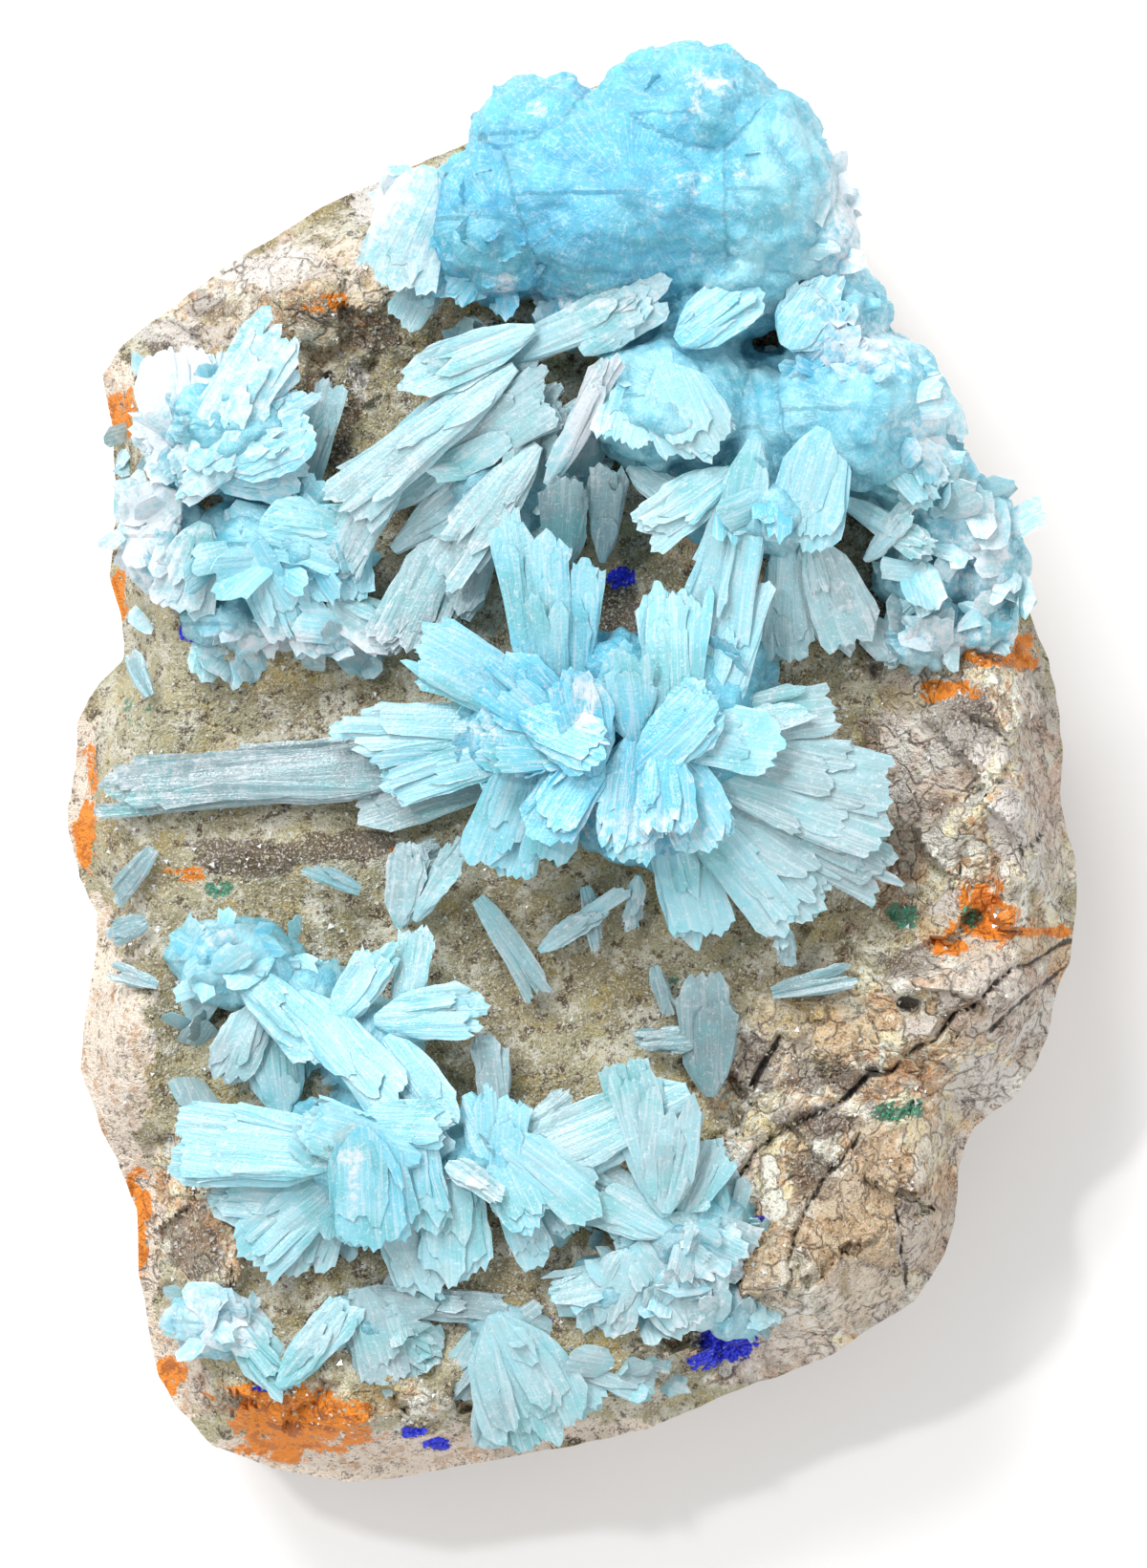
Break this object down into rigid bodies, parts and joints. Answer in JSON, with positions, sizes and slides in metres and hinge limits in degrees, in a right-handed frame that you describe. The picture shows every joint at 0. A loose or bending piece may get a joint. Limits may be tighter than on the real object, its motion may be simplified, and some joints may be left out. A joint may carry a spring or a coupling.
{
  "type": "aragonite crystals on rock",
  "caption": "Loose hand specimen of sky-blue aragonite: radiating sheaves, fans and lumpy domes of blades grown on a broken piece of brown rock with a pale rind, lying on its flat back.",
  "frame": {"origin": "on the flat broken back, under the middle of the specimen", "axes": "+Z out of the crystal face, away from the surface it lies on; +Y towards the end with the large dome; +X to the right seen from above"},
  "size_m": [0.0534, 0.0756, 0.0315],
  "materials": {
    "rock": "rough broken rock, brown druse floor, pale rind, grey and rust patches",
    "sky_blue_aragonite": "milky translucent, finely striated, glassy on the faces",
    "pale_blue_aragonite": "milky translucent, finely striated, glassy on the faces",
    "grey_clear_aragonite": "nearly clear grey-blue, striated along the blade"
  },
  "bodies": {
    "root": {"matrix_rock": "rock", "upper_crystal_mass": "sky_blue_aragonite", "centre_rosette": "sky_blue_aragonite", "left_sheaf_cluster": "pale_blue_aragonite", "lower_left_cluster": "pale_blue_aragonite", "curved_fan_cluster": "pale_blue_aragonite", "bottom_fan_cluster": "pale_blue_aragonite", "left_floor_spray": "grey_clear_aragonite", "upright_striated_blade": "grey_clear_aragonite", "floor_blade_1": "grey_clear_aragonite", "floor_blade_2": "grey_clear_aragonite", "floor_blade_3": "grey_clear_aragonite", "floor_blade_4": "grey_clear_aragonite", "floor_blade_5": "grey_clear_aragonite", "floor_blade_6": "grey_clear_aragonite", "left_edge_rod_1": "grey_clear_aragonite", "left_edge_rod_2": "grey_clear_aragonite", "left_edge_rod_3": "grey_clear_aragonite", "left_edge_rod_4": "grey_clear_aragonite"}
  },
  "joints": []
}
